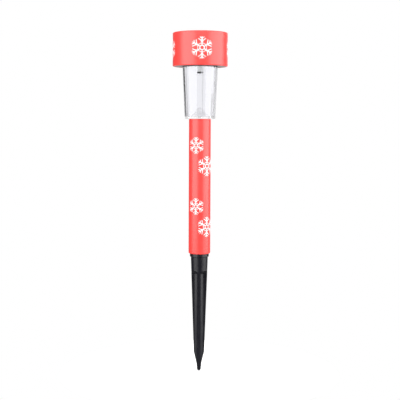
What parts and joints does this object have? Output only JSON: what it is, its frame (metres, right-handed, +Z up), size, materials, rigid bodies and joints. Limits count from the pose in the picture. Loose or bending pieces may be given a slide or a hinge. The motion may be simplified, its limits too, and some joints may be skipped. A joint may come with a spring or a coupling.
{
  "type": "solar garden stake light",
  "caption": "Solar garden stake light: round painted head with a solar panel, clear fluted lens barrel, painted tube and a ribbed ground spike.",
  "frame": {"origin": "on the tube's axis at ground level, where the tube's rolled rim stands on the spike's flange", "axes": "+Z up along the tube, -Y towards the front, the slide switch at +Y"},
  "size_m": [0.055, 0.055, 0.3411],
  "materials": {
    "red_paint": "glossy red enamel on thin steel, with a printed snowflake pattern",
    "clear_plastic": "clear moulded polystyrene, polished",
    "frosted_plastic": "frosted clear polystyrene",
    "white_print": "white screen-printed ink",
    "black_plastic": "satin black moulded polypropylene",
    "seal_rubber": "matt foam rubber",
    "solar_blue": "dark blue silicon",
    "silver_print": "printed silver lines",
    "clear_resin": "clear potting resin, smooth",
    "plated_steel": "nickel-plated steel",
    "board_laminate": "green solder mask",
    "chip_black": "moulded epoxy",
    "inductor_green": "dipped lacquer",
    "led_resin": "clear epoxy",
    "battery_wrap": "shrink sleeve over a steel can",
    "switch_black": "moulded acetal",
    "wire_red": "red insulation",
    "wire_black": "black insulation"
  },
  "bodies": {
    "spike": {"ground_spike": "black_plastic"},
    "pole": {"pole_tube": "red_paint"},
    "lens": {"lens_barrel": "clear_plastic", "light_spreader": "frosted_plastic"},
    "head": {"head_sleeve": "red_paint", "head_housing": "black_plastic", "panel_tray": "black_plastic", "seal_gasket": "seal_rubber", "solar_cell": "solar_blue", "solar_grid": "silver_print", "solar_window": "clear_resin", "housing_screws": "plated_steel", "circuit_board": "board_laminate", "driver_chip": "chip_black", "inductor": "inductor_green", "led": "led_resin", "led_leads": "plated_steel", "led_shade": "black_plastic", "battery_cell": "battery_wrap", "battery_contact": "plated_steel", "battery_spring": "plated_steel", "switch_body": "plated_steel", "wire_panel_positive": "wire_red", "wire_panel_negative": "wire_black", "wire_battery_positive": "wire_red", "wire_battery_negative": "wire_black", "wire_switch_common": "wire_red", "wire_switch_on": "wire_red"},
    "switch_knob": {"switch_slider": "switch_black"}
  },
  "joints": [
    {"name": "pole_lift", "type": "slide", "parent": "spike", "child": "pole", "axis": [0, 0, 1], "range_m": [0, 0.026]},
    {"name": "lens_lift", "type": "slide", "parent": "pole", "child": "lens", "axis": [0, 0, 1], "range_m": [0, 0.016]},
    {"name": "head_lift", "type": "slide", "parent": "lens", "child": "head", "axis": [0, 0, 1], "range_m": [0, 0.016]},
    {"name": "switch_slide", "type": "slide", "parent": "head", "child": "switch_knob", "axis": [1, 0, 0], "range_m": [0, 0.002]}
  ]
}
